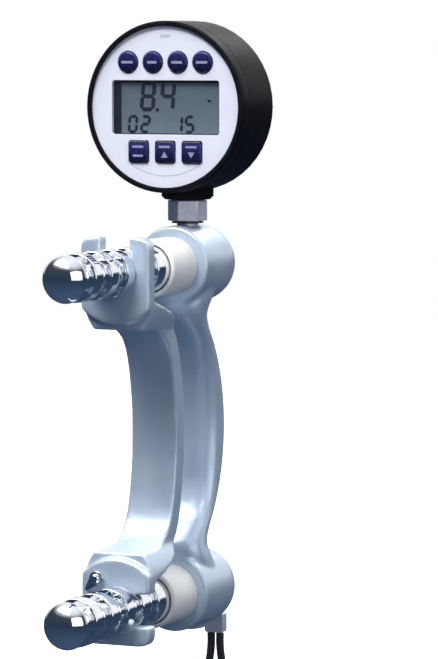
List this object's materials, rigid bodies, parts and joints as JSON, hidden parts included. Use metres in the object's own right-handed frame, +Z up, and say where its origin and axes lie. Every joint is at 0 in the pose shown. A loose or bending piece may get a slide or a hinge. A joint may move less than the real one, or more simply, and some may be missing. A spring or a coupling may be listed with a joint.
{
  "type": "hand dynamometer",
  "caption": "Hydraulic grip-strength dynamometer: round digital gauge on a cast palm handle, with a finger handle hooked onto grooved posts.",
  "frame": {"origin": "middle of the palm surface of the fixed handle, half way between the two posts", "axes": "+Z up along the fixed handle towards the gauge, -Y out of the gauge face, along the posts and towards the fingers, +X to the right across the gauge face"},
  "size_m": [0.0622, 0.1352, 0.3317],
  "materials": {
    "paint": "satin metallic silver-blue paint on cast aluminium",
    "chrome": "bright chrome plate",
    "steel": "nickel-plated steel",
    "nylon": "ivory nylon",
    "black_plastic": "satin black plastic",
    "rubber": "black rubber",
    "face_white": "satin white plastic, slightly blue",
    "window": "clear plastic lens",
    "display": "grey liquid-crystal glass",
    "board": "green laminate",
    "cell": "printed sleeve on a steel can",
    "key": "navy plastic",
    "cord": "braided black cord"
  },
  "bodies": {
    "frame": {"body_casting": "paint", "upper_bush": "nylon", "lower_bush": "nylon", "gauge_stem": "steel", "stem_washer": "rubber", "gauge_case": "black_plastic", "gauge_bezel": "black_plastic", "face_plate": "face_white", "display_window": "window", "display_module": "display", "keypad_mat": "rubber", "circuit_board": "board", "battery_tray": "black_plastic", "battery_cell_1": "cell", "battery_cell_2": "cell", "pressure_sensor": "steel", "rear_cover": "black_plastic", "rear_screw_1": "steel", "rear_screw_2": "steel", "rear_screw_3": "steel", "bleed_screw": "steel", "strap_eye": "steel", "strap_link": "steel", "strap_crimp": "steel", "wrist_strap": "cord"},
    "upper_plunger": {"upper_post": "chrome", "upper_piston": "steel", "upper_piston_seal": "rubber"},
    "lower_plunger": {"lower_post": "chrome", "lower_piston": "steel", "lower_piston_seal": "rubber"},
    "finger_handle": {"adjustable_handle": "paint", "clip_pin": "steel"},
    "catch": {"handle_clip": "steel"},
    "round_key_1_body": {"round_key_1": "key"},
    "round_key_2_body": {"round_key_2": "key"},
    "round_key_3_body": {"round_key_3": "key"},
    "round_key_4_body": {"round_key_4": "key"},
    "square_key_1_body": {"square_key_1": "key"},
    "square_key_2_body": {"square_key_2": "key"},
    "square_key_3_body": {"square_key_3": "key"}
  },
  "joints": [
    {"name": "upper_post_press", "type": "slide", "parent": "frame", "child": "upper_plunger", "axis": [0, 1, 0], "range_m": [0, 0.002], "stiffness_N_per_m": 3000},
    {"name": "lower_post_press", "type": "slide", "parent": "frame", "child": "lower_plunger", "axis": [0, 1, 0], "range_m": [0, 0.002], "stiffness_N_per_m": 3000},
    {"name": "handle_swing", "type": "hinge", "parent": "upper_plunger", "child": "finger_handle", "pos_m": [0, -0.0759, 0.06], "axis": [0, 1, 0], "range_deg": [0, 40]},
    {"name": "clip_flex", "type": "hinge", "parent": "finger_handle", "child": "catch", "pos_m": [-0.0068, -0.0798, -0.0488], "axis": [0, 1, 0], "range_deg": [0, 15], "stiffness_Nm_per_rad": 0.1},
    {"name": "round_key_1_press", "type": "slide", "parent": "frame", "child": "round_key_1_body", "axis": [0, 1, 0], "range_m": [0, 0.0005], "stiffness_N_per_m": 400},
    {"name": "round_key_2_press", "type": "slide", "parent": "frame", "child": "round_key_2_body", "axis": [0, 1, 0], "range_m": [0, 0.0005], "stiffness_N_per_m": 400},
    {"name": "round_key_3_press", "type": "slide", "parent": "frame", "child": "round_key_3_body", "axis": [0, 1, 0], "range_m": [0, 0.0005], "stiffness_N_per_m": 400},
    {"name": "round_key_4_press", "type": "slide", "parent": "frame", "child": "round_key_4_body", "axis": [0, 1, 0], "range_m": [0, 0.0005], "stiffness_N_per_m": 400},
    {"name": "square_key_1_press", "type": "slide", "parent": "frame", "child": "square_key_1_body", "axis": [0, 1, 0], "range_m": [0, 0.0005], "stiffness_N_per_m": 400},
    {"name": "square_key_2_press", "type": "slide", "parent": "frame", "child": "square_key_2_body", "axis": [0, 1, 0], "range_m": [0, 0.0005], "stiffness_N_per_m": 400},
    {"name": "square_key_3_press", "type": "slide", "parent": "frame", "child": "square_key_3_body", "axis": [0, 1, 0], "range_m": [0, 0.0005], "stiffness_N_per_m": 400}
  ],
  "couplings": [
    {"joint": "lower_post_press", "follows": "upper_post_press", "ratio": 1}
  ]
}
